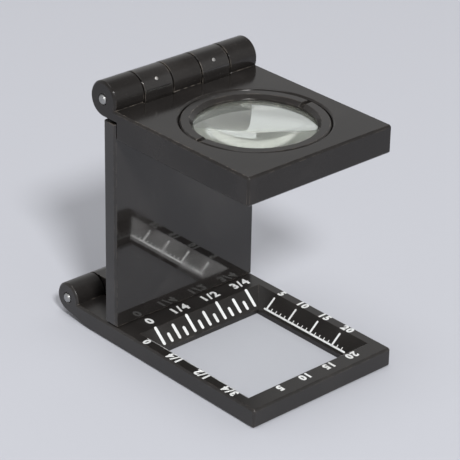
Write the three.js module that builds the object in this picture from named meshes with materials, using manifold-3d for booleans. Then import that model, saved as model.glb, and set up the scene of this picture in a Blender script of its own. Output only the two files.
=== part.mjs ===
// Folding magnifier of the linen tester kind: three hinged leaves of one width.
// The base lies on the work and has a bevelled window, the riser stands on it,
// and the lens plate reaches forward over the window. Both hinges turn 270 degrees,
// so the lens plate folds behind the riser and the base folds behind them both.
// Millimetres, +Z up, -Y is the front. The export stands centred on z = 0.
// Inside the assembly, y = 0 is the riser's front face and x = 0 the middle.
import * as THREE from "three";
import { mergeVertices } from "three/addons/utils/BufferGeometryUtils.js";
import Module from "manifold-3d";

const wasm = await Module();
wasm.setup();

// The three leaves, measured from the riser's front face and the table
const plateWidth = 28.6;
const baseThickness = 3.2;
const riserThickness = 2.7;
const lensPlateThickness = 4.6;
const baseFrontReach = 31.8;
const lensPlateFrontReach = 29.5;
const viewingHeight = 32.2;
const edgeChamfer = 0.3;

// Hinges: five knuckles each, the first, third and fifth on the outer leaf.
// Each axis lies a little above the top face of its leaf.
const knuckleCount = 5;
const knuckleGap = 0.25;
const baseBarrelRadius = 2.5;
const lensBarrelRadius = 2.9;
const baseAxisLift = 0.3;
const lensAxisLift = 1.1;
const swingGap = 0.35;
const baseBarrelSlopeRun = 4.6;
const footFilletRadius = 0.8;

// The folded stack: riser, lens plate, base, with these gaps between them
const riserFoldGap = 1.2;
const leafFoldGap = 0.3;

// Stops: the riser stands on the base, the lens plate's rear edge meets the riser
const riserSeatGap = 0.15;
const lensStopGap = 0.2;

// Hinge pins
const pinRadius = 0.8;
const pinClearance = 0.1;
const pinHeadProud = 0.25;
const pinDomeShare = 0.3;

// Window in the base: margins round its top edge, a bevel, then straight sides
const windowSideMargin = 1.8;
const windowRearMargin = 3.6;
const windowFrontMargin = 3.2;
const windowBevelRun = 2.8;
const windowBevelDepth = 2.4;

// Lens, and the lip that it rests on
const lensRadius = 10;
const lensSurfaceRadius = 41.4;
const lensEdgeThickness = 1.35;
const lensClearance = 0.1;
const lensFrontMargin = 2.8;
const lipReach = 0.8;
const lipThickness = 1.7;
const apertureChamfer = 0.4;
const seatGap = 0.05;

// Retaining ring, screwed down on the lens
const ringReachIn = 0.8;
const ringReachOut = 1.2;
const ringClearance = 0.12;
const ringRecess = 0.1;
const ringInnerChamfer = 0.6;
const ringOuterChamfer = 0.25;
const ringSlotWidth = 0.9;
const ringSlotDepth = 0.6;

// Facets, the distance at which two corners are one, and how far a cutter runs
// past what it cuts
const barrelArcSteps = 28;
const lensTurnSteps = 72;
const lensArcSteps = 8;
const pinTurnSteps = 24;
const cornerMatch = 0.00001;
const cutOverrun = 1;

// Sizes and places worked out from the values above
const halfWidth = plateWidth / 2;
const knuckleWidth = plateWidth / knuckleCount;
const lensPlateLow = baseThickness + viewingHeight;
const lensPlateTop = lensPlateLow + lensPlateThickness;
const foldedLensTop = riserThickness + riserFoldGap;
const foldedBaseUnderside = foldedLensTop + lensPlateThickness + leafFoldGap;
const lensAxisY = foldedLensTop - lensAxisLift;
const lensAxisZ = lensPlateTop + lensAxisLift;
const baseAxisY = foldedBaseUnderside + baseThickness + baseAxisLift;
const baseAxisZ = baseThickness + baseAxisLift;
const envelopeCentreY = (baseAxisY + baseBarrelRadius - baseFrontReach) / 2;
const apertureRadius = lensRadius - lipReach;
const ringInnerRadius = lensRadius - ringReachIn;
const ringOuterRadius = lensRadius + lensClearance + ringReachOut;
const ringSeatRadius = ringOuterRadius + ringClearance;
const lensCentreY = lensFrontMargin + ringSeatRadius - lensPlateFrontReach;
const lipTop = lensPlateLow + lipThickness;
const lensEdgeLow = lipTop + lensBulge(apertureRadius) + seatGap;
const lensEdgeHigh = lensEdgeLow + lensEdgeThickness;
const ringLow = lensEdgeHigh + lensBulge(ringInnerRadius) + seatGap;

const enamel = new THREE.MeshStandardMaterial({
  name: "black_enamel", color: 0x1b1918, roughness: 0.32, metalness: 0.1,
});
const steel = new THREE.MeshStandardMaterial({
  name: "bright_steel", color: 0xc9c9c6, roughness: 0.25, metalness: 1,
});
const glass = new THREE.MeshStandardMaterial({
  name: "lens_glass", color: 0xe9f2ee, roughness: 0.03, metalness: 0,
  transparent: true, opacity: 0.35,
});

// How far a lens face stands out past its edge plane, at this radius
function lensBulge(across) {
  const height = Math.sqrt(lensSurfaceRadius ** 2 - across ** 2);
  return height - Math.sqrt(lensSurfaceRadius ** 2 - lensRadius ** 2);
}

// A closed three.js geometry as a solid that can be cut and joined
function solidOf(geometry) {
  const bare = geometry.index ? geometry.toNonIndexed() : geometry;
  const points = new THREE.BufferGeometry();
  points.setAttribute("position", bare.getAttribute("position"));
  const merged = mergeVertices(points, cornerMatch);
  return new wasm.Manifold(
    new wasm.Mesh({
      numProp: 3,
      vertProperties: new Float32Array(merged.attributes.position.array),
      triVerts: new Uint32Array(merged.index.array),
    }),
  );
}

// A solid as a named mesh with flat-shaded faces
function meshOf(name, solid, material) {
  const made = solid.getMesh();
  const position = new Float32Array(made.numVert * 3);
  for (let i = 0; i < made.numVert; i++) {
    const start = i * made.numProp;
    position.set(made.vertProperties.subarray(start, start + 3), i * 3);
  }
  const geometry = new THREE.BufferGeometry();
  geometry.setAttribute("position", new THREE.BufferAttribute(position, 3));
  geometry.setIndex(new THREE.BufferAttribute(made.triVerts, 1));
  const faceted = geometry.toNonIndexed();
  faceted.computeVertexNormals();
  const mesh = new THREE.Mesh(faceted, material);
  mesh.name = name;
  return mesh;
}

// A side profile, drawn as (y, z), carried from x = from to x = to
function alongX(shape, from, to, chamfer, curveSegments) {
  const geometry = new THREE.ExtrudeGeometry(shape, {
    depth: to - from - 2 * chamfer,
    curveSegments,
    bevelEnabled: chamfer > 0,
    bevelThickness: chamfer,
    bevelSize: chamfer,
    bevelOffset: -chamfer,
    bevelSegments: 1,
  });
  const turn = new THREE.Matrix4().makeBasis(
    new THREE.Vector3(0, 1, 0),
    new THREE.Vector3(0, 0, 1),
    new THREE.Vector3(1, 0, 0),
  );
  geometry.applyMatrix4(turn);
  geometry.translate(from + chamfer, 0, 0);
  return solidOf(geometry);
}

function box(from, to) {
  const size = new THREE.Vector3().subVectors(to, from);
  const middle = new THREE.Vector3().addVectors(from, to).multiplyScalar(0.5);
  const geometry = new THREE.BoxGeometry(size.x, size.y, size.z);
  return solidOf(geometry.translate(middle.x, middle.y, middle.z));
}

// A rod or bore along X about a hinge axis
function rodAlongX(radius, halfLength, axisY, axisZ, domed) {
  const dome = domed ? radius * pinDomeShare : 0;
  const profile = [
    new THREE.Vector2(0, -halfLength),
    new THREE.Vector2(radius - dome, -halfLength),
  ];
  if (domed) {
    profile.push(new THREE.Vector2(radius, dome - halfLength));
    profile.push(new THREE.Vector2(radius, halfLength - dome));
    profile.push(new THREE.Vector2(radius - dome, halfLength));
  } else {
    profile.push(new THREE.Vector2(radius, halfLength));
  }
  profile.push(new THREE.Vector2(0, halfLength));
  const geometry = new THREE.LatheGeometry(profile, pinTurnSteps);
  geometry.rotateZ(-Math.PI / 2);
  geometry.translate(0, axisY, axisZ);
  return solidOf(geometry);
}

// Where the knuckle with this number starts, counted from the left
function knuckleStart(number) {
  return (number - 1) * knuckleWidth - halfWidth;
}

// Clears a knuckle's place for the other leaf's knuckle, with the gap at each side
function knuckleNotch(number, fromY, toY, fromZ, toZ) {
  const left = number === 1 ? -cutOverrun : -knuckleGap / 2;
  const right = number === knuckleCount ? cutOverrun : knuckleGap / 2;
  const start = new THREE.Vector3(knuckleStart(number) + left, fromY, fromZ);
  const end = new THREE.Vector3(knuckleStart(number + 1) + right, toY, toZ);
  return box(start, end);
}

function evenKnuckles() {
  const numbers = Array.from({ length: knuckleCount }, (unused, i) => i + 1);
  return numbers.filter((number) => number % 2 === 0);
}

function oddKnuckles() {
  const numbers = Array.from({ length: knuckleCount }, (unused, i) => i + 1);
  return numbers.filter((number) => number % 2 === 1);
}

// Where a leaf's top face runs into its barrel: the angle at the hinge axis
function meetingAngle(lift, radius) {
  return Math.PI + Math.asin(lift / radius);
}

// Side profile of the base: the flat plate, then the underside rises to the barrel
function baseProfile() {
  const front = -baseFrontReach;
  const slopeStart = baseAxisY - baseBarrelSlopeRun;
  const reach = Math.hypot(baseBarrelSlopeRun, baseAxisZ);
  const toStart = Math.atan2(-baseAxisZ, -baseBarrelSlopeRun);
  const tangent = toStart + Math.acos(baseBarrelRadius / reach);
  const meeting = meetingAngle(baseAxisLift, baseBarrelRadius);
  const shape = new THREE.Shape();
  shape.moveTo(front, edgeChamfer);
  shape.lineTo(front, baseThickness - edgeChamfer);
  shape.lineTo(front + edgeChamfer, baseThickness);
  shape.absarc(baseAxisY, baseAxisZ, baseBarrelRadius, meeting, tangent, true);
  shape.lineTo(slopeStart, 0);
  shape.lineTo(front + edgeChamfer, 0);
  shape.closePath();
  return shape;
}

// The window's straight sides, and the bevel that opens upward from them
function windowCutter() {
  const half = halfWidth - windowSideMargin - windowBevelRun;
  const rear = -windowRearMargin - windowBevelRun;
  const front = windowFrontMargin + windowBevelRun - baseFrontReach;
  const opening = new THREE.Shape();
  opening.moveTo(-half, front);
  opening.lineTo(half, front);
  opening.lineTo(half, rear);
  opening.lineTo(-half, rear);
  opening.closePath();
  const bevel = new THREE.ExtrudeGeometry(opening, {
    depth: cutOverrun,
    bevelEnabled: true,
    bevelThickness: windowBevelDepth,
    bevelSize: windowBevelRun,
    bevelSegments: 1,
  });
  bevel.translate(0, 0, baseThickness);
  const straight = box(
    new THREE.Vector3(-half, front, -cutOverrun),
    new THREE.Vector3(half, rear, baseThickness),
  );
  return solidOf(bevel).add(straight);
}

function basePlate() {
  let solid = alongX(baseProfile(), -halfWidth, halfWidth, edgeChamfer, barrelArcSteps);
  const clearY = baseAxisY - baseBarrelRadius - swingGap;
  const behind = baseAxisY + baseBarrelRadius + cutOverrun;
  const above = baseAxisZ + baseBarrelRadius + cutOverrun;
  for (const number of evenKnuckles()) {
    solid = solid.subtract(knuckleNotch(number, clearY, behind, -cutOverrun, above));
  }
  const bore = rodAlongX(
    pinRadius + pinClearance, halfWidth + cutOverrun, baseAxisY, baseAxisZ, false,
  );
  return solid.subtract(bore).subtract(windowCutter());
}

// Side profile of the riser's wall, rounded into the barrel that holds the lens plate
function riserWallProfile() {
  const foot = baseThickness + riserSeatGap;
  const lean = Math.hypot(lensAxisY, lensBarrelRadius);
  const toCorner = Math.atan2(-lensBarrelRadius, -lensAxisY);
  const frontTangent = toCorner - Math.acos(lensBarrelRadius / lean);
  const shape = new THREE.Shape();
  shape.moveTo(0, foot);
  shape.lineTo(0, lensAxisZ - lensBarrelRadius);
  shape.absarc(
    lensAxisY, lensAxisZ, lensBarrelRadius, frontTangent + 2 * Math.PI, -Math.PI / 2, true,
  );
  shape.lineTo(riserThickness, lensAxisZ - lensBarrelRadius);
  shape.lineTo(riserThickness, foot);
  shape.closePath();
  return shape;
}

// Side profile of the riser's foot, which runs back over the base to its barrel
function riserFootProfile() {
  const low = baseThickness + riserSeatGap;
  const high = baseAxisZ + baseBarrelRadius;
  const filletY = riserThickness + footFilletRadius;
  const meeting = meetingAngle(baseAxisZ - low, baseBarrelRadius);
  const shape = new THREE.Shape();
  shape.moveTo(0, low);
  shape.lineTo(0, high + footFilletRadius);
  shape.lineTo(riserThickness, high + footFilletRadius);
  shape.absarc(
    filletY, high + footFilletRadius, footFilletRadius, Math.PI, 1.5 * Math.PI, false,
  );
  shape.lineTo(baseAxisY, high);
  shape.absarc(
    baseAxisY, baseAxisZ, baseBarrelRadius, Math.PI / 2, meeting - 2 * Math.PI, true,
  );
  shape.closePath();
  return shape;
}

function riserPlate() {
  let wall = alongX(riserWallProfile(), -halfWidth, halfWidth, edgeChamfer, barrelArcSteps);
  const wallTop = lensAxisZ - lensBarrelRadius - swingGap;
  const above = lensAxisZ + lensBarrelRadius + cutOverrun;
  const lensBehind = lensAxisY + lensBarrelRadius + cutOverrun;
  for (const number of oddKnuckles()) {
    wall = wall.subtract(knuckleNotch(number, -cutOverrun, lensBehind, wallTop, above));
  }
  const footLeft = knuckleStart(2) + knuckleGap / 2;
  let foot = alongX(riserFootProfile(), footLeft, -footLeft, 0, barrelArcSteps);
  const clearY = foldedBaseUnderside - leafFoldGap;
  const behind = baseAxisY + baseBarrelRadius + cutOverrun;
  const footTop = baseAxisZ + baseBarrelRadius + cutOverrun;
  for (const number of oddKnuckles()) {
    foot = foot.subtract(knuckleNotch(number, clearY, behind, -cutOverrun, footTop));
  }
  const reach = halfWidth + cutOverrun;
  const hole = pinRadius + pinClearance;
  return wall
    .add(foot)
    .subtract(rodAlongX(hole, reach, lensAxisY, lensAxisZ, false))
    .subtract(rodAlongX(hole, reach, baseAxisY, baseAxisZ, false));
}

// Side profile of the lens plate: thick where it holds the lens, with thinner arms
// that pass over the riser to the barrel
function lensPlateProfile() {
  const front = -lensPlateFrontReach;
  const armLow = lensAxisZ - lensBarrelRadius;
  const meeting = meetingAngle(lensAxisLift, lensBarrelRadius);
  const shape = new THREE.Shape();
  shape.moveTo(front, lensPlateLow + edgeChamfer);
  shape.lineTo(front, lensPlateTop - edgeChamfer);
  shape.lineTo(front + edgeChamfer, lensPlateTop);
  shape.absarc(
    lensAxisY, lensAxisZ, lensBarrelRadius, meeting, -Math.PI / 2, true,
  );
  shape.lineTo(-lensStopGap, armLow);
  shape.lineTo(-lensStopGap, lensPlateLow);
  shape.lineTo(front + edgeChamfer, lensPlateLow);
  shape.closePath();
  return shape;
}

// The stepped hole for the lens: aperture below, lens pocket, then the ring's thread
function lensSeatCutter() {
  const under = lensPlateLow - cutOverrun;
  const pocket = lensRadius + lensClearance;
  const top = lensPlateTop + cutOverrun;
  const profile = [
    new THREE.Vector2(0, under),
    new THREE.Vector2(apertureRadius + apertureChamfer, under),
    new THREE.Vector2(apertureRadius + apertureChamfer, lensPlateLow),
    new THREE.Vector2(apertureRadius, lensPlateLow + apertureChamfer),
    new THREE.Vector2(apertureRadius, lipTop),
    new THREE.Vector2(pocket, lipTop),
    new THREE.Vector2(pocket, lensEdgeHigh),
    new THREE.Vector2(ringSeatRadius, lensEdgeHigh),
    new THREE.Vector2(ringSeatRadius, lensPlateTop - ringOuterChamfer),
    new THREE.Vector2(ringSeatRadius + ringOuterChamfer, lensPlateTop),
    new THREE.Vector2(ringSeatRadius + ringOuterChamfer, top),
    new THREE.Vector2(0, top),
  ];
  const geometry = new THREE.LatheGeometry(profile, lensTurnSteps);
  geometry.rotateX(Math.PI / 2);
  geometry.translate(0, lensCentreY, 0);
  return solidOf(geometry);
}

function lensPlate() {
  let solid = alongX(lensPlateProfile(), -halfWidth, halfWidth, edgeChamfer, barrelArcSteps);
  const clearY = Math.min(-lensStopGap, lensAxisY - lensBarrelRadius - swingGap);
  const behind = lensAxisY + lensBarrelRadius + cutOverrun;
  const below = lensPlateLow - cutOverrun;
  const above = lensAxisZ + lensBarrelRadius + cutOverrun;
  for (const number of evenKnuckles()) {
    solid = solid.subtract(knuckleNotch(number, clearY, behind, below, above));
  }
  const bore = rodAlongX(
    pinRadius + pinClearance, halfWidth + cutOverrun, lensAxisY, lensAxisZ, false,
  );
  return solid.subtract(bore).subtract(lensSeatCutter());
}

// A lens with two equal convex faces, seated on the lip
function lens() {
  const lower = [];
  const upper = [];
  for (let i = 0; i <= lensArcSteps; i++) {
    const across = (lensRadius * i) / lensArcSteps;
    lower.push(new THREE.Vector2(across, lensEdgeLow - lensBulge(across)));
    upper.unshift(new THREE.Vector2(across, lensEdgeHigh + lensBulge(across)));
  }
  const geometry = new THREE.LatheGeometry([...lower, ...upper], lensTurnSteps);
  geometry.rotateX(Math.PI / 2);
  geometry.translate(0, lensCentreY, 0);
  return solidOf(geometry);
}

// The ring that holds the lens down, with two slots for the key that turns it
function retainingRing() {
  const high = lensPlateTop - ringRecess;
  const profile = [
    new THREE.Vector2(ringInnerRadius, ringLow),
    new THREE.Vector2(ringOuterRadius, ringLow),
    new THREE.Vector2(ringOuterRadius, high - ringOuterChamfer),
    new THREE.Vector2(ringOuterRadius - ringOuterChamfer, high),
    new THREE.Vector2(ringInnerRadius + ringInnerChamfer, high),
    new THREE.Vector2(ringInnerRadius, high - ringInnerChamfer),
    new THREE.Vector2(ringInnerRadius, ringLow),
  ];
  const geometry = new THREE.LatheGeometry(profile, lensTurnSteps);
  geometry.rotateX(Math.PI / 2);
  geometry.translate(0, lensCentreY, 0);
  const slotReach = ringOuterRadius + cutOverrun;
  const slot = box(
    new THREE.Vector3(-slotReach, lensCentreY - ringSlotWidth / 2, high - ringSlotDepth),
    new THREE.Vector3(slotReach, lensCentreY + ringSlotWidth / 2, high + cutOverrun),
  );
  return solidOf(geometry).subtract(slot);
}

const magnifier = new THREE.Group();
magnifier.position.y = -envelopeCentreY;
const pinHalfLength = halfWidth + pinHeadProud;
magnifier.add(
  meshOf("base_plate", basePlate(), enamel),
  meshOf("riser_plate", riserPlate(), enamel),
  meshOf("lens_plate", lensPlate(), enamel),
  meshOf("lens", lens(), glass),
  meshOf("lens_retaining_ring", retainingRing(), enamel),
  meshOf("base_hinge_pin", rodAlongX(pinRadius, pinHalfLength, baseAxisY, baseAxisZ, true), steel),
  meshOf("lens_hinge_pin", rodAlongX(pinRadius, pinHalfLength, lensAxisY, lensAxisZ, true), steel),
);

const root = new THREE.Group();
root.name = "folding_magnifier";
root.add(magnifier);
export default root;
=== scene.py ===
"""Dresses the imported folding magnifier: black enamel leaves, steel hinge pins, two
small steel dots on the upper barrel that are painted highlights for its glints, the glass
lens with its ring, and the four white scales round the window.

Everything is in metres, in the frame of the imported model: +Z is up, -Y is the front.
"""

import math
from typing import NamedTuple

import bmesh
import bpy
from bpy.props import FloatProperty, FloatVectorProperty, PointerProperty
from mathutils import Matrix, Vector


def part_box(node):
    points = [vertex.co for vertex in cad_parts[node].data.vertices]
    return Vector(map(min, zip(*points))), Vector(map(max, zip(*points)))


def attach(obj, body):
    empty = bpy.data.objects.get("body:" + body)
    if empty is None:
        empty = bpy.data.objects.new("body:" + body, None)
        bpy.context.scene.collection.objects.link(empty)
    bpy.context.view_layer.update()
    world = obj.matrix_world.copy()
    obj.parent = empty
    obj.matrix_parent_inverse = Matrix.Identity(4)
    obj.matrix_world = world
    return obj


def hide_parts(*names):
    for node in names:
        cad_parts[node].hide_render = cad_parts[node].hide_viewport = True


bl_info = {
    "name": "Folding Magnifier",
    "version": (1, 0, 0),
    "blender": (4, 5, 0),
    "location": "View3D > Sidebar > Magnifier",
    "description": "Finishes, scales, lamps and camera for a folding magnifier",
    "category": "Object",
}

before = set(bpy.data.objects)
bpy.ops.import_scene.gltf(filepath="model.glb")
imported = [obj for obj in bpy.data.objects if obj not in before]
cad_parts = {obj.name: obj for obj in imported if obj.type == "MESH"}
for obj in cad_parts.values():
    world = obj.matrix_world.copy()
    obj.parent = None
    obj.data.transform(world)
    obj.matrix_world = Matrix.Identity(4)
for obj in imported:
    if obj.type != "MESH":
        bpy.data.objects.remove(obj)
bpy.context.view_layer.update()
BASE_LOW, BASE_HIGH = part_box("base_plate")
LENS_LOW, LENS_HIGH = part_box("lens")

MM = 0.001
INCH = 0.0254

# The window in the base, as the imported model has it: the margins beside it and in front
# of it, its length, its top, and the bevel that runs all round it
SIDE_MARGIN = 1.8 * MM
FRONT_MARGIN = 3.2 * MM
WINDOW_LENGTH = 25.0 * MM
WINDOW_TOP = 3.2 * MM
BEVEL_RUN = 2.8 * MM
BEVEL_DEPTH = 2.4 * MM
WINDOW_SIDE = BASE_HIGH.x - SIDE_MARGIN
WINDOW_FRONT = BASE_LOW.y + FRONT_MARGIN
WINDOW_REAR = WINDOW_FRONT + WINDOW_LENGTH
BEVEL_LENGTH = math.hypot(BEVEL_RUN, BEVEL_DEPTH)

# The lens's thickness at its edge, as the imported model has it, and how finely the lens
# is turned
LENS_EDGE = 1.35 * MM
LENS_TURN_STEPS = 120
LENS_ARC_STEPS = 28
UPRIGHT_LIMIT = 0.5  # a face whose normal rises less than this is part of the edge

# Each hinge has this many knuckles. Two small bright steel dots, painted highlights that
# stand for the glints on the upper barrel, sit in the second and the fourth knuckle of
# the upper hinge, this far round from straight back over the top. Their outline gives
# radius and height above the barrel, from the middle of the domed end to the foot.
KNUCKLES = 5
PAINTED_GLINT_LEAN = math.radians(141)
PAINTED_GLINT_STEPS = 24
PAINTED_GLINT_OUTLINE = (
    (0.0, 0.075 * MM),
    (0.12 * MM, 0.07 * MM),
    (0.23 * MM, 0.055 * MM),
    (0.3 * MM, 0.025 * MM),
    (0.32 * MM, -0.2 * MM),
    (0.0, -0.2 * MM),
)

# Rounding: corners nearer than this are one, faces within the flat angle are one plane,
# and edges beyond the sharp angle are rounded in this many steps
JOIN_DISTANCE = 0.001 * MM
FLAT_ANGLE = math.radians(0.5)
SHARP_ANGLE = math.radians(28)
ROUNDING_STEPS = 2
PIN_EDGE_RADIUS = 0.05 * MM
RING_EDGE_PART = 0.6  # of the leaves' edge radius

# Specks, smudges, streaks and rubbed edges: the band of the noise in which each shows,
# and the strength and the form of each
WHOLE = (0.0, 1.0)
SPECK_BAND = (0.62, 0.78)
SPECK_FINENESS = 4.0
SMUDGE_BAND = (0.42, 0.72)
SMUDGE_STRENGTH = 0.8
SMUDGE_DETAIL = 5.0
SMUDGE_DISTORTION = 0.6
STREAK_BAND = (0.64, 0.74)
STREAK_STRENGTH = 0.35
STREAK_DETAIL = 2.0
STREAK_TURN = (0.3, 0.2, 0.6)
STREAK_STRETCH = (0.06, 1.0, 0.5)
RUB_BAND = (0.43, 0.62)
RUB_DETAIL = 4.0

# How far the rounded normal turns from the flat one along a rubbed edge, as 1 - cosine,
# and how many samples find it
EDGE_BAND = (0.002, 0.045)
EDGE_SAMPLES = 6

# Each enamelled piece: how much duller it is than the setting, and its specular level
LEAF_FINISHES = {
    "base_plate": {"duller": 0.24, "gloss": 0.5},
    "riser_plate": {"duller": -0.02, "gloss": 0.62},
    "lens_plate": {"duller": 0.06, "gloss": 0.32},
}
RING_FINISH = {"duller": 0.1, "gloss": 0.34}
LEAF_RIPPLE_SCALE = 1500.0
RING_RIPPLE_SCALE = 2400.0

# Enamel: how much paler and duller it is where it is handled, the dust on it, and how
# wide and how much duller its rubbed edges are
HANDLED_FADE = 1.6
HANDLED_DULLING = 0.14
DUST_STRENGTH = 0.09
DUST_COLOUR = (0.35, 0.34, 0.32, 1)
WEAR_RADIUS = 0.2 * MM
WORN_DULLING = 0.3

# Steel: its turning rings, the scales of its ripple and smudges, its relief, and its
# look where it is handled
STEEL_RINGS = 14.0
STEEL_RING_DISTORTION = 1.5
STEEL_RIPPLE_SCALE = 2600.0
STEEL_SMUDGE_SCALE = 500.0
STEEL_RELIEF = 0.006 * MM
STEEL_HANDLED_COLOUR = (0.42, 0.4, 0.38, 1)
STEEL_HANDLED_DULLING = 0.15

# Glass: how much of it is clear, and the tint of the lamps' light that it lets through
GLASS_TRANSMISSION = 0.95
GLASS_SHADOW_TINT = (0.9, 0.92, 0.91, 1)

# Scale paint: the scales of its ripple and smudges, its grime, relief and roughness
PAINT_RIPPLE_SCALE = 5200.0
PAINT_SMUDGE_SCALE = 260.0
GRIME_STRENGTH = 0.35
GRIME_COLOUR = (0.45, 0.44, 0.41, 1)
PAINT_RELIEF = 0.008 * MM
PAINT_ROUGHNESS = (0.12, 0.3)

# Inch scales: sixteenths of an inch. Heads and feet of the lines are parts of the
# bevel's length, down from the window's top edge, and a head hangs this gap lower.
INCH_LINES = 13
INCH_LINE_HEADS = {4: 0.0, 2: 0.17, 1: 0.45}  # by how many sixteenths a line counts
INCH_LINE_FOOT = 0.8
INCH_LINE_GAP = 0.15 * MM
INCH_LINE_WIDTH = 0.52 * MM
INCH_NUMBERS = ("0", "1/4", "1/2", "3/4")

# Millimetre scales: a long rule with a line for each millimetre, and a longer one and a
# number for each fifth
MM_LINES = range(5, 23)
MM_NUMBERS = (5, 10, 15, 20)
MM_LINE_FOOT = 0.82
MM_RULE_ENDS = (4.6 * MM, 22.8 * MM)
MM_RULE_WIDTH = 0.3 * MM
MM_LINE_LENGTH = 0.5 * MM
MM_LINE_WIDTH = 0.16 * MM
MM_FIFTH_HEAD = 0.22
MM_FIFTH_WIDTH = 0.34 * MM

# How finely a line's round ends and the curves of a number are drawn, how far apart the
# characters of a number stand, and how near two corners of the marks are one
LINE_END_STEPS = 6
NUMBER_CURVE_STEPS = 3
NUMBER_SPACING = 1.2
MARK_JOIN_DISTANCE = 0.0005 * MM

# The stage: the floor, the height of a ray at which the walls turn to ceiling, each
# lamp's place and width, and where the lamps and the camera look
FLOOR_REACH = 3.0
FLOOR_SEGMENTS = 4
FLOOR_ROUGHNESS = 0.75
CEILING_BAND = (0.53, 0.8)
MAIN_LAMP_PLACE = (-0.5, -0.96, 0.98)
MAIN_LAMP_WIDTH = 0.24
TOP_LAMP_PLACE = (-0.09, 0.09, 1.6)
TOP_LAMP_WIDTH = 1.07
LAMP_AIM = Vector((0, 0, 0.02))
CAMERA_AIM = Vector((-0.24, -1.94, 19.92)) * MM
CAMERA_NEAR = 0.01
CAMERA_FAR = 20.0


# ---------------------------------------------------------------- settings


class EnamelSettings(bpy.types.PropertyGroup):
    """The black enamel of the three leaves and the ring"""

    colour: FloatVectorProperty(
        name="Enamel colour",
        description="Colour of the enamel itself, under its gloss",
        subtype="COLOR",
        size=4,
        min=0,
        max=1,
        default=(0.0148, 0.0132, 0.0124, 1),
    )
    worn_colour: FloatVectorProperty(
        name="Worn edge colour",
        description="Colour that shows where the enamel is rubbed thin",
        subtype="COLOR",
        size=4,
        min=0,
        max=1,
        default=(0.22, 0.19, 0.16, 1),
    )
    roughness: FloatProperty(
        name="Roughness",
        description="Roughness of clean enamel",
        subtype="FACTOR",
        min=0,
        max=1,
        default=0.06,
    )
    wear: FloatProperty(
        name="Edge wear",
        description="How much of the sharp edges is rubbed",
        subtype="FACTOR",
        min=0,
        max=1,
        default=0.6,
    )
    peel_height: FloatProperty(
        name="Orange peel height",
        description="Height of the ripple in the enamel",
        unit="LENGTH",
        min=0,
        default=0.0012 * MM,
        precision=6,
    )
    edge_radius: FloatProperty(
        name="Edge radius",
        description="Radius that the enamel gives to every sharp edge",
        unit="LENGTH",
        min=0,
        default=0.07 * MM,
        precision=6,
    )


class SteelSettings(bpy.types.PropertyGroup):
    """The bright steel of the hinge pins and of the two dots that are painted highlights
    on the barrel
    """

    colour: FloatVectorProperty(
        name="Steel colour",
        description="Colour of the bare steel",
        subtype="COLOR",
        size=4,
        min=0,
        max=1,
        default=(0.38, 0.385, 0.385, 1),
    )
    roughness: FloatProperty(
        name="Roughness",
        description="Roughness of the pins' clean ends",
        subtype="FACTOR",
        min=0,
        max=1,
        default=0.34,
    )


class GlassSettings(bpy.types.PropertyGroup):
    """The glass of the lens"""

    colour: FloatVectorProperty(
        name="Glass colour",
        description="Tint of the glass",
        subtype="COLOR",
        size=4,
        min=0,
        max=1,
        default=(0.9, 0.935, 0.86, 1),
    )
    ior: FloatProperty(
        name="Refractive index",
        description="Refractive index of crown glass",
        min=1,
        max=2.5,
        default=1.52,
    )


class ScaleSettings(bpy.types.PropertyGroup):
    """The white lines and numbers round the window"""

    colour: FloatVectorProperty(
        name="Paint colour",
        description="Colour of the paint in the lines and numbers",
        subtype="COLOR",
        size=4,
        min=0,
        max=1,
        default=(0.82, 0.83, 0.83, 1),
    )
    number_height: FloatProperty(
        name="Number height",
        description="Height of the numbers",
        unit="LENGTH",
        min=0,
        default=1.5 * MM,
        precision=5,
    )
    number_weight: FloatProperty(
        name="Number weight",
        description="How much bolder than plain the numbers are",
        unit="LENGTH",
        min=0,
        default=0.135 * MM,
        precision=5,
    )
    paint_height: FloatProperty(
        name="Paint height",
        description="How far the paint stands above the enamel",
        unit="LENGTH",
        min=0,
        default=0.025 * MM,
        precision=5,
    )


class StageSettings(bpy.types.PropertyGroup):
    """The floor, the lamps and the camera"""

    floor_colour: FloatVectorProperty(
        name="Floor colour",
        description="Colour of the pale floor",
        subtype="COLOR",
        size=4,
        min=0,
        max=1,
        default=(0.52, 0.53, 0.575, 1),
    )
    horizon_strength: FloatProperty(
        name="Walls",
        description="Strength of the light from the pale walls all round",
        min=0,
        default=0.6,
    )
    ceiling_strength: FloatProperty(
        name="Ceiling",
        description="Strength of the light from the darker ceiling",
        min=0,
        default=0.22,
    )
    key_power: FloatProperty(
        name="Main lamp",
        description="Power of the lamp above the camera, a little to its right",
        unit="POWER",
        min=0,
        default=17.5,
    )
    fill_power: FloatProperty(
        name="Top lamp",
        description="Power of the wide lamp overhead",
        unit="POWER",
        min=0,
        default=7.6,
    )
    azimuth: FloatProperty(
        name="Azimuth",
        description="Where the camera stands round the magnifier",
        subtype="ANGLE",
        default=math.radians(-42.34),
    )
    elevation: FloatProperty(
        name="Elevation",
        description="How far above the horizon the camera stands",
        subtype="ANGLE",
        default=math.radians(27.0),
    )
    roll: FloatProperty(
        name="Roll",
        description="How far the camera is turned about its own axis",
        subtype="ANGLE",
        default=math.radians(1.12),
    )
    distance: FloatProperty(
        name="Distance",
        description="From the camera to the point that it looks at",
        unit="LENGTH",
        min=0,
        default=0.333,
    )
    focal_length: FloatProperty(
        name="Focal length",
        description="Focal length of the camera",
        unit="CAMERA",
        min=1,
        default=170.5,
    )


SETTINGS = {
    "magnifier_enamel": EnamelSettings,
    "magnifier_steel": SteelSettings,
    "magnifier_glass": GlassSettings,
    "magnifier_scales": ScaleSettings,
    "magnifier_stage": StageSettings,
}


# ---------------------------------------------------------------- node helpers


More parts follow.
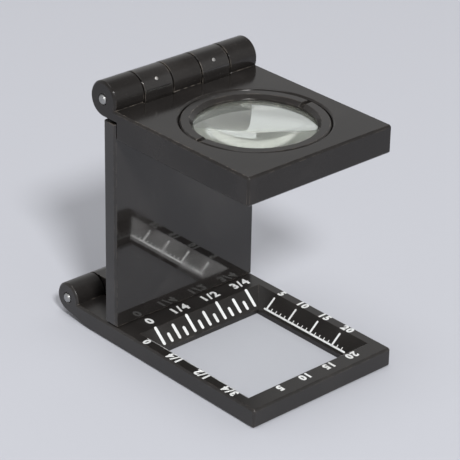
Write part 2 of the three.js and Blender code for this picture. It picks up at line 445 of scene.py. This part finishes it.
def new_group(name, inputs, outputs):
    """An empty shader node group with these sockets, and its two end nodes."""
    group = bpy.data.node_groups.new(name, "ShaderNodeTree")
    for title, kind, default in inputs:
        socket = group.interface.new_socket(title, in_out="INPUT", socket_type=kind)
        socket.default_value = default
    for title, kind in outputs:
        group.interface.new_socket(title, in_out="OUTPUT", socket_type=kind)
    return group, group.nodes.new("NodeGroupInput"), group.nodes.new("NodeGroupOutput")


def add_node(tree, kind, **settings):
    """A new node with these settings."""
    node = tree.nodes.new(kind)
    for name, value in settings.items():
        setattr(node, name, value)
    return node


def join(tree, *pairs):
    """Links each pair of an output and an input."""
    for source, target in pairs:
        tree.links.new(source, target)


def feed(tree, value, target):
    """Links an output to the input, or sets a plain value on it."""
    if isinstance(value, bpy.types.NodeSocket):
        join(tree, (value, target))
    else:
        target.default_value = value


def math_node(tree, operation, first, second):
    """A Math node fed by outputs or plain numbers; gives its output."""
    node = add_node(tree, "ShaderNodeMath", operation=operation)
    feed(tree, first, node.inputs[0])
    feed(tree, second, node.inputs[1])
    return node.outputs["Value"]


def map_range(tree, value, band, target):
    """Draws out the value's band smoothly to the target, each a pair of numbers."""
    node = add_node(tree, "ShaderNodeMapRange", interpolation_type="SMOOTHSTEP")
    join(tree, (value, node.inputs["Value"]))
    sides = ("From Min", "From Max", "To Min", "To Max")
    for side, limit in zip(sides, (*band, *target)):
        node.inputs[side].default_value = limit
    return node.outputs["Result"]


def mix_colour(tree, mask, first, second):
    """From the first colour to the second, each an output or a plain colour."""
    node = add_node(tree, "ShaderNodeMix", data_type="RGBA")
    factor, *_, a, b = [socket for socket in node.inputs if socket.enabled]
    join(tree, (mask, factor))
    feed(tree, first, a)
    feed(tree, second, b)
    return next(socket for socket in node.outputs if socket.enabled)


def add_relief(tree, shader, height, depth):
    """Bumps the shader's surface by the height, an output, times the depth."""
    bump = add_node(tree, "ShaderNodeBump")
    bump.inputs["Distance"].default_value = depth
    join(
        tree,
        (height, bump.inputs["Height"]),
        (bump.outputs["Normal"], shader.inputs["Normal"]),
    )


# ---------------------------------------------------------------- shared effects


def surface_ripple_group():
    """Fine ripple of a sprayed or ground surface as a height, and a mask of specks."""
    found = bpy.data.node_groups.get("Surface ripple")
    if found:
        return found
    group, start, end = new_group(
        "Surface ripple",
        [("Scale", "NodeSocketFloat", 1500.0), ("Detail", "NodeSocketFloat", 3.0)],
        [("Height", "NodeSocketFloat"), ("Speckle", "NodeSocketFloat")],
    )
    place = add_node(group, "ShaderNodeTexCoord")
    ripple = add_node(group, "ShaderNodeTexNoise")
    fine = add_node(group, "ShaderNodeTexNoise")
    fine_scale = math_node(group, "MULTIPLY", start.outputs["Scale"], SPECK_FINENESS)
    specks = map_range(group, fine.outputs["Fac"], SPECK_BAND, WHOLE)
    join(
        group,
        (place.outputs["Object"], ripple.inputs["Vector"]),
        (place.outputs["Object"], fine.inputs["Vector"]),
        (start.outputs["Scale"], ripple.inputs["Scale"]),
        (start.outputs["Detail"], ripple.inputs["Detail"]),
        (fine_scale, fine.inputs["Scale"]),
        (ripple.outputs["Fac"], end.inputs["Height"]),
        (specks, end.inputs["Speckle"]),
    )
    return group


def handling_group():
    """Where fingers have dulled a surface: soft smudges and fine rubbed streaks."""
    found = bpy.data.node_groups.get("Handling marks")
    if found:
        return found
    group, start, end = new_group(
        "Handling marks",
        [
            ("Smudge scale", "NodeSocketFloat", 90.0),
            ("Streak scale", "NodeSocketFloat", 900.0),
        ],
        [("Mask", "NodeSocketFloat")],
    )
    place = add_node(group, "ShaderNodeTexCoord")
    smudge = add_node(group, "ShaderNodeTexNoise")
    smudge.inputs["Detail"].default_value = SMUDGE_DETAIL
    smudge.inputs["Distortion"].default_value = SMUDGE_DISTORTION
    turn = add_node(group, "ShaderNodeMapping")
    turn.inputs["Rotation"].default_value = STREAK_TURN
    turn.inputs["Scale"].default_value = STREAK_STRETCH
    streak = add_node(group, "ShaderNodeTexNoise")
    streak.inputs["Detail"].default_value = STREAK_DETAIL
    soft = map_range(group, smudge.outputs["Fac"], SMUDGE_BAND, (0.0, SMUDGE_STRENGTH))
    thin = map_range(group, streak.outputs["Fac"], STREAK_BAND, (0.0, STREAK_STRENGTH))
    join(
        group,
        (place.outputs["Object"], smudge.inputs["Vector"]),
        (place.outputs["Object"], turn.inputs["Vector"]),
        (turn.outputs["Vector"], streak.inputs["Vector"]),
        (start.outputs["Smudge scale"], smudge.inputs["Scale"]),
        (start.outputs["Streak scale"], streak.inputs["Scale"]),
        (math_node(group, "MAXIMUM", soft, thin), end.inputs["Mask"]),
    )
    return group


def edge_wear_group():
    """Where sharp edges are rubbed: the edge itself, broken up by noise."""
    found = bpy.data.node_groups.get("Edge wear")
    if found:
        return found
    group, start, end = new_group(
        "Edge wear",
        [
            ("Radius", "NodeSocketFloat", WEAR_RADIUS),
            ("Amount", "NodeSocketFloat", 0.5),
            ("Break-up scale", "NodeSocketFloat", 700.0),
        ],
        [("Mask", "NodeSocketFloat")],
    )
    place = add_node(group, "ShaderNodeTexCoord")
    rounded = add_node(group, "ShaderNodeBevel", samples=EDGE_SAMPLES)
    flat = add_node(group, "ShaderNodeNewGeometry")
    agree = add_node(group, "ShaderNodeVectorMath", operation="DOT_PRODUCT")
    break_up = add_node(group, "ShaderNodeTexNoise")
    break_up.inputs["Detail"].default_value = RUB_DETAIL
    turned = math_node(group, "SUBTRACT", 1.0, agree.outputs["Value"])
    edge = map_range(group, turned, EDGE_BAND, WHOLE)
    rub = map_range(group, break_up.outputs["Fac"], RUB_BAND, WHOLE)
    worn = math_node(group, "MULTIPLY", edge, rub)
    mask = math_node(group, "MULTIPLY", worn, start.outputs["Amount"])
    join(
        group,
        (place.outputs["Object"], break_up.inputs["Vector"]),
        (start.outputs["Break-up scale"], break_up.inputs["Scale"]),
        (start.outputs["Radius"], rounded.inputs["Radius"]),
        (rounded.outputs["Normal"], agree.inputs[0]),
        (flat.outputs["Normal"], agree.inputs[1]),
        (mask, end.inputs["Mask"]),
    )
    return group


def place_group(tree, group, **values):
    """The group as a node. A value's name is its input's, with _ for a space."""
    node = add_node(tree, "ShaderNodeGroup", node_tree=group)
    for name, value in values.items():
        node.inputs[name.replace("_", " ")].default_value = value
    return node


def new_material(name):
    """A new material with its Principled shader."""
    material = bpy.data.materials.new(name)
    material.use_nodes = True
    return material, material.node_tree, material.node_tree.nodes["Principled BSDF"]


def enamel(name, ripple_scale, duller, gloss):
    """Semi-gloss black enamel, a little duller where handled, rubbed at the edges."""
    settings = bpy.context.scene.magnifier_enamel
    material, tree, shader = new_material(name)
    ripple = place_group(tree, surface_ripple_group(), Scale=ripple_scale)
    handled = place_group(tree, handling_group())
    wear = place_group(tree, edge_wear_group(), Amount=settings.wear)
    faded = tuple(HANDLED_FADE * part for part in settings.colour[:3]) + (1,)
    mottled = mix_colour(tree, handled.outputs["Mask"], settings.colour, faded)
    dust = math_node(tree, "MULTIPLY", ripple.outputs["Speckle"], DUST_STRENGTH)
    dusty = mix_colour(tree, dust, mottled, DUST_COLOUR)
    colour = mix_colour(tree, wear.outputs["Mask"], dusty, settings.worn_colour)
    clean = settings.roughness + duller
    roughness = (clean, clean + HANDLED_DULLING)
    dulled = map_range(tree, handled.outputs["Mask"], WHOLE, roughness)
    rubbed = math_node(tree, "MULTIPLY", wear.outputs["Mask"], WORN_DULLING)
    join(
        tree,
        (colour, shader.inputs["Base Color"]),
        (math_node(tree, "ADD", dulled, rubbed), shader.inputs["Roughness"]),
    )
    add_relief(tree, shader, ripple.outputs["Height"], settings.peel_height)
    shader.inputs["Specular IOR Level"].default_value = gloss
    return material


def bright_steel():
    """Bright steel with faint turning rings, duller and browner where handled."""
    found = bpy.data.materials.get("bright_steel_finish")
    if found:
        return found
    settings = bpy.context.scene.magnifier_steel
    material, tree, shader = new_material("bright_steel_finish")
    place = add_node(tree, "ShaderNodeTexCoord")
    centred = add_node(tree, "ShaderNodeVectorMath", operation="SUBTRACT")
    centred.inputs[1].default_value = (0.5, 0.5, 0.5)
    rings = add_node(tree, "ShaderNodeTexWave", wave_type="RINGS", rings_direction="X")
    rings.inputs["Scale"].default_value = STEEL_RINGS
    rings.inputs["Distortion"].default_value = STEEL_RING_DISTORTION
    ripple = place_group(tree, surface_ripple_group(), Scale=STEEL_RIPPLE_SCALE)
    handled = place_group(tree, handling_group(), Smudge_scale=STEEL_SMUDGE_SCALE)
    mask = handled.outputs["Mask"]
    roughness = (settings.roughness, settings.roughness + STEEL_HANDLED_DULLING)
    colour = mix_colour(tree, mask, settings.colour, STEEL_HANDLED_COLOUR)
    join(
        tree,
        (place.outputs["Generated"], centred.inputs[0]),
        (centred.outputs["Vector"], rings.inputs["Vector"]),
        (colour, shader.inputs["Base Color"]),
        (map_range(tree, mask, WHOLE, roughness), shader.inputs["Roughness"]),
    )
    relief = math_node(tree, "ADD", rings.outputs["Fac"], ripple.outputs["Height"])
    add_relief(tree, shader, relief, STEEL_RELIEF)
    shader.inputs["Metallic"].default_value = 1.0
    return material


def lens_glass():
    """Clear ground glass. The lamps shine through it on what lies below."""
    settings = bpy.context.scene.magnifier_glass
    material, tree, shader = new_material("lens_glass_finish")
    shader.inputs["Base Color"].default_value = settings.colour
    shader.inputs["Roughness"].default_value = 0.0
    shader.inputs["IOR"].default_value = settings.ior
    shader.inputs["Transmission Weight"].default_value = GLASS_TRANSMISSION
    clear = add_node(tree, "ShaderNodeBsdfTransparent")
    clear.inputs["Color"].default_value = GLASS_SHADOW_TINT
    path = add_node(tree, "ShaderNodeLightPath")
    mix = add_node(tree, "ShaderNodeMixShader")
    join(
        tree,
        (path.outputs["Is Shadow Ray"], mix.inputs["Fac"]),
        (shader.outputs["BSDF"], mix.inputs[1]),
        (clear.outputs["BSDF"], mix.inputs[2]),
        (mix.outputs["Shader"], tree.nodes["Material Output"].inputs["Surface"]),
    )
    return material


def scale_paint():
    """White paint rubbed into the scale lines, with a little grime."""
    found = bpy.data.materials.get("scale_paint")
    if found:
        return found
    settings = bpy.context.scene.magnifier_scales
    material, tree, shader = new_material("scale_paint")
    ripple = place_group(tree, surface_ripple_group(), Scale=PAINT_RIPPLE_SCALE)
    handled = place_group(tree, handling_group(), Smudge_scale=PAINT_SMUDGE_SCALE)
    grime = math_node(tree, "MULTIPLY", handled.outputs["Mask"], GRIME_STRENGTH)
    colour = mix_colour(tree, grime, settings.colour, GRIME_COLOUR)
    roughness = map_range(tree, ripple.outputs["Speckle"], WHOLE, PAINT_ROUGHNESS)
    join(
        tree,
        (colour, shader.inputs["Base Color"]),
        (roughness, shader.inputs["Roughness"]),
    )
    add_relief(tree, shader, ripple.outputs["Height"], PAINT_RELIEF)
    return material


# ---------------------------------------------------------------- carried-over nodes


def finish_node(name, material):
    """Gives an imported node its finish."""
    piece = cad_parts[name]
    piece.data.materials.clear()
    piece.data.materials.append(material)
    return piece


def edge_join_group():
    """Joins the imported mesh's corners, so that its edges can be rounded."""
    found = bpy.data.node_groups.get("Join corners")
    if found:
        return found
    group = bpy.data.node_groups.new("Join corners", "GeometryNodeTree")
    for way in ("INPUT", "OUTPUT"):
        group.interface.new_socket("Mesh", in_out=way, socket_type="NodeSocketGeometry")
    start = group.nodes.new("NodeGroupInput")
    end = group.nodes.new("NodeGroupOutput")
    merge = group.nodes.new("GeometryNodeMergeByDistance")
    merge.inputs["Distance"].default_value = JOIN_DISTANCE
    smooth = group.nodes.new("GeometryNodeSetShadeSmooth")
    join(
        group,
        (start.outputs[0], merge.inputs["Geometry"]),
        (merge.outputs["Geometry"], smooth.inputs["Geometry"]),
        (smooth.outputs["Geometry"], end.inputs[0]),
    )
    return group


def round_edges(piece, radius):
    """Rounds the sharp edges a little and shades the curved faces smoothly."""
    weld = piece.modifiers.new("Join corners", "NODES")
    weld.node_group = edge_join_group()
    flat = piece.modifiers.new("One face per plane", "DECIMATE")
    flat.decimate_type = "DISSOLVE"
    flat.angle_limit = FLAT_ANGLE
    rounding = piece.modifiers.new("Rounded edges", "BEVEL")
    rounding.limit_method = "ANGLE"
    rounding.angle_limit = SHARP_ANGLE
    rounding.width = radius
    rounding.segments = ROUNDING_STEPS
    rounding.use_clamp_overlap = False
    rounding.miter_outer = "MITER_SHARP"
    even = piece.modifiers.new("Even shading", "WEIGHTED_NORMAL")
    even.keep_sharp = False


# ---------------------------------------------------------------- new pieces


def add_object(name, data):
    """A new object in the scene that carries this data."""
    made = bpy.data.objects.new(name, data)
    bpy.context.scene.collection.objects.link(made)
    return made


def mesh_object(name, mesh):
    """A new object in the scene from this bmesh, which is freed."""
    data = bpy.data.meshes.new(name)
    mesh.to_mesh(data)
    mesh.free()
    return add_object(name, data)


def surface_frame(origin, along, up):
    """A matrix with its X along a surface, its Y up it and its Z off it."""
    x = Vector(along).normalized()
    y = Vector(up).normalized()
    z = x.cross(y)
    matrix = Matrix((x, y, z)).transposed().to_4x4()
    matrix.translation = Vector(origin)
    return matrix


def turned_piece(name, place, outline, steps):
    """A closed piece turned about the Z axis of place.

    Its outline gives (radius, height) points, from the top of the axis to its foot.
    """
    mesh = bmesh.new()
    last = None
    for radius, height in outline:
        turns = [2 * math.pi * i / steps for i in range(steps if radius > 0 else 1)]
        points = [
            Vector((radius * math.cos(turn), radius * math.sin(turn), height))
            for turn in turns
        ]
        ring = [mesh.verts.new(place @ point) for point in points]
        for i in range(steps if last else 0):
            j = (i + 1) % steps
            corners = (
                last[i % len(last)],
                ring[i % len(ring)],
                ring[j % len(ring)],
                last[j % len(last)],
            )
            mesh.faces.new(dict.fromkeys(corners))
        last = ring
    for face in mesh.faces:
        face.smooth = True
    return mesh_object(name, mesh)


# ---------------------------------------------------------------- scale marks


class ScaleSide(NamedTuple):
    """One side of the window, and how its scale lies there"""

    point: Vector  # on the window's top edge
    along: Vector  # the way the scale counts
    out: Vector  # the way out from the window, which is up for its numbers
    zero: float  # how far along from the point the scale's zero lies
    number_out: float  # how far out the middles of its numbers lie
    number_shift: float  # how far on from their lines its numbers stand
    number_size: float = 1.0  # the height of its numbers, beside the setting


SIDES = {
    "rear": ScaleSide(
        point=Vector((0, WINDOW_REAR, WINDOW_TOP)),
        along=Vector((1, 0, 0)),
        out=Vector((0, 1, 0)),
        zero=-9.4 * MM,
        number_out=2.1 * MM,
        number_shift=0.6 * MM,
        number_size=1.2,
    ),
    "left": ScaleSide(
        point=Vector((-WINDOW_SIDE, 0, WINDOW_TOP)),
        along=Vector((0, -1, 0)),
        out=Vector((-1, 0, 0)),
        zero=-(WINDOW_REAR - 2.05 * MM),
        number_out=0.75 * MM,
        number_shift=0.6 * MM,
    ),
    "right": ScaleSide(
        point=Vector((WINDOW_SIDE, 0, WINDOW_TOP)),
        along=Vector((0, -1, 0)),
        out=Vector((1, 0, 0)),
        zero=-(WINDOW_REAR + 0.6 * MM),
        number_out=0.75 * MM,
        number_shift=0.35 * MM,
    ),
    "front": ScaleSide(
        point=Vector((0, WINDOW_FRONT, WINDOW_TOP)),
        along=Vector((1, 0, 0)),
        out=Vector((0, -1, 0)),
        zero=-11.95 * MM,
        number_out=0.94 * MM,
        number_shift=0.0,
    ),
}


def bevel_and_margin(side):
    """The surface frames of a side's bevel and of the margin above it, and a sign.

    Both frames start at the scale's zero on the window's top edge, with Y outward. X
    counts with the scale, or against it where the sign is -1.
    """
    origin = side.point + side.along * side.zero
    slope = (side.out * BEVEL_RUN + Vector((0, 0, BEVEL_DEPTH))).normalized()
    sign = -1 if side.along.cross(side.out).z < 0 else 1
    bevel = surface_frame(origin, side.along * sign, slope)
    margin = surface_frame(origin, side.along * sign, side.out)
    return bevel, margin, sign


def add_line(mesh, matrix, start, end, width, height):
    """A round-ended painted line from start to end on the surface of matrix."""
    a, b = Vector(start), Vector(end)
    turn = math.atan2(b.y - a.y, b.x - a.x)
    outline = []
    for centre, first in ((b, turn - math.pi / 2), (a, turn + math.pi / 2)):
        for i in range(LINE_END_STEPS + 1):
            angle = first + math.pi * i / LINE_END_STEPS
            rim = Vector((math.cos(angle), math.sin(angle))) * width / 2
            outline.append(centre + rim)
    low = [mesh.verts.new(matrix @ Vector((p.x, p.y, -height))) for p in outline]
    high = [mesh.verts.new(matrix @ Vector((p.x, p.y, height))) for p in outline]
    mesh.faces.new(high)
    mesh.faces.new(reversed(low))
    count = len(outline)
    for i in range(count):
        j = (i + 1) % count
        mesh.faces.new((low[i], low[j], high[j], high[i]))


def add_number(mesh, matrix, text, middle, height, settings):
    """A number of this height, its middle at this point of the surface of matrix."""
    # Drawn with 1 unit for 1 mm, then fitted to its true height and place
    curve = bpy.data.curves.new("number", "FONT")
    curve.body = text
    curve.align_x = "CENTER"
    curve.size = 2 * height / MM
    curve.resolution_u = NUMBER_CURVE_STEPS
    curve.space_character = NUMBER_SPACING
    curve.offset = settings.number_weight / MM
    curve.extrude = settings.paint_height / MM
    carrier = add_object("number", curve)
    bpy.context.view_layer.update()
    shape = carrier.evaluated_get(bpy.context.evaluated_depsgraph_get()).to_mesh()
    across = [vertex.co.x for vertex in shape.vertices]
    upward = [vertex.co.y for vertex in shape.vertices]
    grow = height / (max(upward) - min(upward))
    centre = Vector(
        ((min(across) + max(across)) / 2, (min(upward) + max(upward)) / 2, 0)
    )
    fit = Matrix.Diagonal((grow, grow, MM, 1)) @ Matrix.Translation(-centre)
    shape.transform(matrix @ Matrix.Translation((*middle, 0)) @ fit)
    mesh.from_mesh(shape)
    carrier.to_mesh_clear()
    bpy.data.objects.remove(carrier)


def mark_piece(name, mesh):
    """Makes the finished marks of one scale a piece that rides on the base."""
    bmesh.ops.remove_doubles(mesh, verts=mesh.verts, dist=MARK_JOIN_DISTANCE)
    bmesh.ops.recalc_face_normals(mesh, faces=mesh.faces)
    piece = mesh_object(name, mesh)
    piece.data.materials.append(scale_paint())
    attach(piece, "base")


# ---------------------------------------------------------------- steps


class MAGNIFIER_OT_leaves(bpy.types.Operator):
    """Give the base, the riser and the lens plate their black enamel"""

    bl_idname = "magnifier.leaves"
    bl_label = "Finish the Leaves"

    def execute(self, context):
        for name, finish in LEAF_FINISHES.items():
            material = enamel(name + "_enamel", LEAF_RIPPLE_SCALE, **finish)
            piece = finish_node(name, material)
            round_edges(piece, context.scene.magnifier_enamel.edge_radius)
        return {"FINISHED"}


class MAGNIFIER_OT_ring(bpy.types.Operator):
    """Give the ring that holds the lens its duller enamel"""

    bl_idname = "magnifier.ring"
    bl_label = "Finish the Lens Ring"

    def execute(self, context):
        material = enamel("ring_enamel_finish", RING_RIPPLE_SCALE, **RING_FINISH)
        piece = finish_node("lens_retaining_ring", material)
        round_edges(piece, RING_EDGE_PART * context.scene.magnifier_enamel.edge_radius)
        return {"FINISHED"}


class MAGNIFIER_OT_pins(bpy.types.Operator):
    """Give the two hinge pins their bright steel"""

    bl_idname = "magnifier.pins"
    bl_label = "Finish the Hinge Pins"

    def execute(self, context):
        material = bright_steel()
        for name in ("base_hinge_pin", "lens_hinge_pin"):
            piece = finish_node(name, material)
            round_edges(piece, PIN_EDGE_RADIUS)
        return {"FINISHED"}


class MAGNIFIER_OT_locking_pins(bpy.types.Operator):
    """Set a small bright steel dot in each of the riser's two upper knuckles, a painted
    highlight for the barrel's glints
    """

    bl_idname = "magnifier.locking_pins"
    bl_label = "Add the Painted Glints"

    def execute(self, context):
        low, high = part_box("lens_hinge_pin")
        axis = (low + high) / 2
        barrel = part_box("lens_plate")[1].z - axis.z
        knuckle = (BASE_HIGH.x - BASE_LOW.x) / KNUCKLES
        out = Vector((0, math.cos(PAINTED_GLINT_LEAN), math.sin(PAINTED_GLINT_LEAN)))
        # Each dot is bright steel set where the barrel shows a glint: a painted highlight
        for name, side in (("left_painted_glint", -1), ("right_painted_glint", 1)):
            origin = axis + out * barrel + Vector((side * knuckle, 0, 0))
            place = surface_frame(origin, (1, 0, 0), (0, out.z, -out.y))
            piece = turned_piece(name, place, PAINTED_GLINT_OUTLINE, PAINTED_GLINT_STEPS)
            piece.data.materials.append(bright_steel())
            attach(piece, "riser")
        return {"FINISHED"}


class MAGNIFIER_OT_lens(bpy.types.Operator):
    """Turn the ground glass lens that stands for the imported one"""

    bl_idname = "magnifier.lens"
    bl_label = "Make the Lens"

    def execute(self, context):
        middle = (LENS_LOW + LENS_HIGH) / 2
        radius = (LENS_HIGH.x - LENS_LOW.x) / 2
        rise = (LENS_HIGH.z - LENS_LOW.z - LENS_EDGE) / 2
        sphere = (radius**2 + rise**2) / (2 * rise)
        reach = math.asin(radius / sphere)
        angles = [reach * i / LENS_ARC_STEPS for i in range(LENS_ARC_STEPS + 1)]
        top = LENS_EDGE / 2 + rise
        face = [
            (sphere * math.sin(angle), top - sphere * (1 - math.cos(angle)))
            for angle in angles
        ]
        outline = face + [(out, -height) for out, height in reversed(face)]
        place = Matrix.Translation(middle)
        piece = turned_piece("ground_lens", place, outline, LENS_TURN_STEPS)
        self.set_true_normals(piece.data, middle, rise, sphere)
        piece.data.materials.append(lens_glass())
        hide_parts("lens")
        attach(piece, "lens_leaf")
        return {"FINISHED"}

    def set_true_normals(self, data, middle, rise, sphere):
        """Shades each face as the true sphere, so that what shows in it isn't torn."""
        normals = [None] * len(data.loops)
        for face in data.polygons:
            upright = abs(face.normal.z) < UPRIGHT_LIMIT
            side = math.copysign(1, face.normal.z)
            height = 0 if upright else side * (LENS_EDGE / 2 + rise - sphere)
            centre = middle + Vector((0, 0, height))
            for loop in face.loop_indices:
                out = data.vertices[data.loops[loop].vertex_index].co - centre
                if upright:
                    out.z = 0
                normals[loop] = out.normalized()
        data.normals_split_custom_set(normals)


class MAGNIFIER_OT_inch_scales(bpy.types.Operator):
    """Draw the inch scales at the rear and left of the window"""

    bl_idname = "magnifier.inch_scales"
    bl_label = "Draw the Inch Scales"

    def execute(self, context):
        settings = context.scene.magnifier_scales
        for name in ("rear", "left"):
            side = SIDES[name]
            mesh = bmesh.new()
            bevel, margin, sign = bevel_and_margin(side)
            foot = -INCH_LINE_FOOT * BEVEL_LENGTH
            for number in range(INCH_LINES):
                place = sign * number * INCH / 16
                rank = next(step for step in INCH_LINE_HEADS if number % step == 0)
                head = -INCH_LINE_HEADS[rank] * BEVEL_LENGTH - INCH_LINE_GAP
                ends = (place, foot), (place, head)
                add_line(mesh, bevel, *ends, INCH_LINE_WIDTH, settings.paint_height)
            for quarter, text in enumerate(INCH_NUMBERS):
                place = sign * (quarter * INCH / 4 + side.number_shift)
                middle = (place, side.number_out)
                height = settings.number_height * side.number_size
                add_number(mesh, margin, text, middle, height, settings)
            mark_piece(name + "_inch_scale", mesh)
        return {"FINISHED"}


class MAGNIFIER_OT_millimetre_scales(bpy.types.Operator):
    """Draw the millimetre scales at the right and front of the window"""

    bl_idname = "magnifier.millimetre_scales"
    bl_label = "Draw the Millimetre Scales"

    def execute(self, context):
        settings = context.scene.magnifier_scales
        for name in ("right", "front"):
            side = SIDES[name]
            mesh = bmesh.new()
            bevel, margin, sign = bevel_and_margin(side)
            foot = -MM_LINE_FOOT * BEVEL_LENGTH
            ends = [(sign * end, foot) for end in MM_RULE_ENDS]
            add_line(mesh, bevel, *ends, MM_RULE_WIDTH, settings.paint_height)
            for number in MM_LINES:
                place = sign * number * MM
                fifth = number % 5 == 0
                head = -MM_FIFTH_HEAD * BEVEL_LENGTH if fifth else foot + MM_LINE_LENGTH
                width = MM_FIFTH_WIDTH if fifth else MM_LINE_WIDTH
                ends = (place, foot), (place, head)
                add_line(mesh, bevel, *ends, width, settings.paint_height)
            for number in MM_NUMBERS:
                place = sign * (number * MM + side.number_shift)
                middle = (place, side.number_out)
                height = settings.number_height * side.number_size
                add_number(mesh, margin, str(number), middle, height, settings)
            mark_piece(name + "_millimetre_scale", mesh)
        return {"FINISHED"}


class MAGNIFIER_OT_stage(bpy.types.Operator):
    """Set up the pale floor, the soft lamps and the camera"""

    bl_idname = "magnifier.stage"
    bl_label = "Set up the Stage"

    def execute(self, context):
        settings = context.scene.magnifier_stage
        self.lay_floor(settings)
        self.light_room(settings)
        self.add_lamp("main_lamp", MAIN_LAMP_PLACE, MAIN_LAMP_WIDTH, settings.key_power)
        self.add_lamp("top_lamp", TOP_LAMP_PLACE, TOP_LAMP_WIDTH, settings.fill_power)
        self.aim_camera(settings)
        context.scene.view_settings.view_transform = "Standard"
        return {"FINISHED"}

    def lay_floor(self, settings):
        """Lays the wide pale floor, which isn't part of the magnifier."""
        mesh = bmesh.new()
        bmesh.ops.create_grid(
            mesh, x_segments=FLOOR_SEGMENTS, y_segments=FLOOR_SEGMENTS, size=FLOOR_REACH
        )
        floor = mesh_object("floor", mesh)
        material, _, shader = new_material("pale_floor")
        shader.inputs["Base Color"].default_value = settings.floor_colour
        shader.inputs["Roughness"].default_value = FLOOR_ROUGHNESS
        floor.data.materials.append(material)

    def light_room(self, settings):
        """Lights the room from pale walls all round and a darker ceiling."""
        world = bpy.data.worlds.new("studio")
        world.use_nodes = True
        tree = world.node_tree
        background = tree.nodes["Background"]
        background.inputs["Color"].default_value = (1, 1, 1, 1)
        place = add_node(tree, "ShaderNodeTexCoord")
        parts = add_node(tree, "ShaderNodeSeparateXYZ")
        strengths = (settings.horizon_strength, settings.ceiling_strength)
        strength = map_range(tree, parts.outputs["Z"], CEILING_BAND, strengths)
        join(
            tree,
            (place.outputs["Generated"], parts.inputs["Vector"]),
            (strength, background.inputs["Strength"]),
        )
        bpy.context.scene.world = world

    def add_lamp(self, name, place, width, power):
        """Adds a round soft lamp of this width that shines on the magnifier."""
        light = bpy.data.lights.new(name, "AREA")
        light.shape = "DISK"
        light.size = width
        light.energy = power
        lamp = add_object(name, light)
        lamp.location = place
        aim = LAMP_AIM - Vector(place)
        lamp.rotation_euler = aim.to_track_quat("-Z", "Y").to_euler()

    def aim_camera(self, settings):
        """Sets the camera at the settings' angles and distance from its aim."""
        camera = bpy.data.cameras.new("camera")
        camera.lens = settings.focal_length
        camera.clip_start, camera.clip_end = CAMERA_NEAR, CAMERA_FAR
        holder = add_object("camera", camera)
        a, e = settings.azimuth, settings.elevation
        level = Vector((math.cos(a), math.sin(a), 0))
        back = Vector(
            (math.sin(a) * math.cos(e), -math.cos(a) * math.cos(e), math.sin(e))
        )
        turn = Matrix((level, back.cross(level), back)).transposed().to_4x4()
        place = Matrix.Translation(CAMERA_AIM + back * settings.distance)
        holder.matrix_world = place @ turn @ Matrix.Rotation(settings.roll, 4, "Z")
        bpy.context.scene.camera = holder


class MAGNIFIER_PT_panel(bpy.types.Panel):
    """Lists the steps that dress the magnifier"""

    bl_idname = "MAGNIFIER_PT_panel"
    bl_label = "Folding Magnifier"
    bl_space_type = "VIEW_3D"
    bl_region_type = "UI"
    bl_category = "Magnifier"

    def draw(self, context):
        for step in STEPS:
            self.layout.operator(step.bl_idname)
        for name, group in SETTINGS.items():
            box = self.layout.box()
            settings = getattr(context.scene, name)
            for field in group.__annotations__:
                box.prop(settings, field)


STEPS = (
    MAGNIFIER_OT_leaves,
    MAGNIFIER_OT_ring,
    MAGNIFIER_OT_pins,
    MAGNIFIER_OT_locking_pins,
    MAGNIFIER_OT_lens,
    MAGNIFIER_OT_inch_scales,
    MAGNIFIER_OT_millimetre_scales,
    MAGNIFIER_OT_stage,
)


def register():
    """Registers the settings, the steps and the panel."""
    for name, group in SETTINGS.items():
        bpy.utils.register_class(group)
        setattr(bpy.types.Scene, name, PointerProperty(type=group))
    for made in (*STEPS, MAGNIFIER_PT_panel):
        bpy.utils.register_class(made)


def unregister():
    """Takes away all that register has added."""
    for made in (MAGNIFIER_PT_panel, *reversed(STEPS)):
        bpy.utils.unregister_class(made)
    for name, group in SETTINGS.items():
        delattr(bpy.types.Scene, name)
        bpy.utils.unregister_class(group)


def main():
    """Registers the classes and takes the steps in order."""
    register()
    bpy.ops.magnifier.leaves()
    bpy.ops.magnifier.ring()
    bpy.ops.magnifier.pins()
    bpy.ops.magnifier.locking_pins()
    bpy.ops.magnifier.lens()
    bpy.ops.magnifier.inch_scales()
    bpy.ops.magnifier.millimetre_scales()
    bpy.ops.magnifier.stage()


if __name__ == "__main__":
    main()
